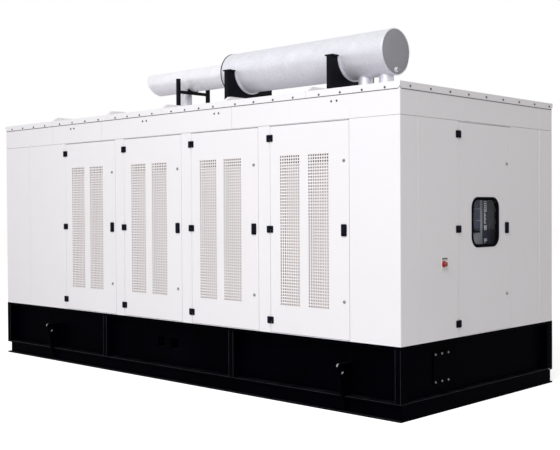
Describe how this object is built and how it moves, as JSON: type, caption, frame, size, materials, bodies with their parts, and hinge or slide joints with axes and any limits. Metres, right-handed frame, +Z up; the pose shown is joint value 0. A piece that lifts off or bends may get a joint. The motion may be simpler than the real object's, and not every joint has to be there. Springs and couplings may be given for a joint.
{
  "type": "sound-proofed generator set",
  "caption": "Box-shaped sound-proofed generator set: white canopy with hinged, perforated doors and a window door, on a black tank base with lifting lugs, and a silencer lying on the roof.",
  "frame": {"origin": "middle of the footprint, on the ground under the skid", "axes": "+Z up; +X along the length towards the control end with the window door; -Y towards the long side with the four hinged doors"},
  "size_m": [5.436, 2.42, 3.158],
  "materials": {
    "canopy_white": "satin white powder coat",
    "base_black": "semi-gloss black enamel",
    "silencer_silver": "silver heat-proof paint",
    "support_black": "semi-gloss black enamel",
    "hardware_black": "moulded black",
    "gasket_rubber": "extruded black rubber",
    "window_glass": "clear pane",
    "cabinet_grey": "satin light grey",
    "device_dark": "moulded dark grey",
    "stop_red": "moulded red",
    "stop_plate": "moulded pale grey"
  },
  "bodies": {
    "canopy_and_base": {"skid_rails": "base_black", "skid_crossmembers": "base_black", "base_tank": "base_black", "base_top_flange": "base_black", "base_ledge_plate": "base_black", "base_posts": "base_black", "lifting_lugs": "base_black", "base_access_cover": "base_black", "corner_panels": "canopy_white", "radiator_side_panels": "canopy_white", "door_posts": "canopy_white", "fascia_corners": "canopy_white", "long_fascias": "canopy_white", "end_fascias": "canopy_white", "control_end_panels": "canopy_white", "radiator_end_panel": "canopy_white", "radiator_end_vents": "canopy_white", "rear_doors": "canopy_white", "rear_vents": "canopy_white", "rear_hardware": "hardware_black", "roof_panels": "canopy_white", "roof_ribs": "canopy_white", "frame_hinges": "hardware_black", "silencer_body": "silencer_silver", "silencer_end_cap": "silencer_silver", "tail_pipe": "silencer_silver", "tail_riser": "silencer_silver", "inlet_pipes": "silencer_silver", "silencer_saddles": "support_black", "saddle_bands": "silencer_silver", "tail_pipe_stand": "support_black", "control_cabinet": "cabinet_grey", "control_devices": "device_dark", "stop_button_plate": "stop_plate", "stop_button": "stop_red"},
    "door_1": {"door_1_leaf": "canopy_white", "door_1_vents": "canopy_white", "door_1_hardware": "hardware_black"},
    "door_2": {"door_2_leaf": "canopy_white", "door_2_vents": "canopy_white", "door_2_hardware": "hardware_black"},
    "door_3": {"door_3_leaf": "canopy_white", "door_3_vents": "canopy_white", "door_3_hardware": "hardware_black"},
    "door_4": {"door_4_leaf": "canopy_white", "door_4_vents": "canopy_white", "door_4_hardware": "hardware_black"},
    "end_door": {"end_door_leaf": "canopy_white", "end_door_hardware": "hardware_black", "window_gasket": "gasket_rubber", "window_glass": "window_glass"}
  },
  "joints": [
    {"name": "door_1_hinge", "type": "hinge", "parent": "canopy_and_base", "child": "door_1", "pos_m": [-1.552, -1.144, 1.4045], "axis": [0, 0, -1], "range_deg": [0, 110]},
    {"name": "door_2_hinge", "type": "hinge", "parent": "canopy_and_base", "child": "door_2", "pos_m": [-0.575, -1.144, 1.4045], "axis": [0, 0, -1], "range_deg": [0, 110]},
    {"name": "door_3_hinge", "type": "hinge", "parent": "canopy_and_base", "child": "door_3", "pos_m": [0.402, -1.144, 1.4045], "axis": [0, 0, -1], "range_deg": [0, 110]},
    {"name": "door_4_hinge", "type": "hinge", "parent": "canopy_and_base", "child": "door_4", "pos_m": [1.379, -1.144, 1.4045], "axis": [0, 0, -1], "range_deg": [0, 110]},
    {"name": "end_door_hinge", "type": "hinge", "parent": "canopy_and_base", "child": "end_door", "pos_m": [2.709, -0.374, 1.4045], "axis": [0, 0, -1], "range_deg": [0, 110]}
  ]
}
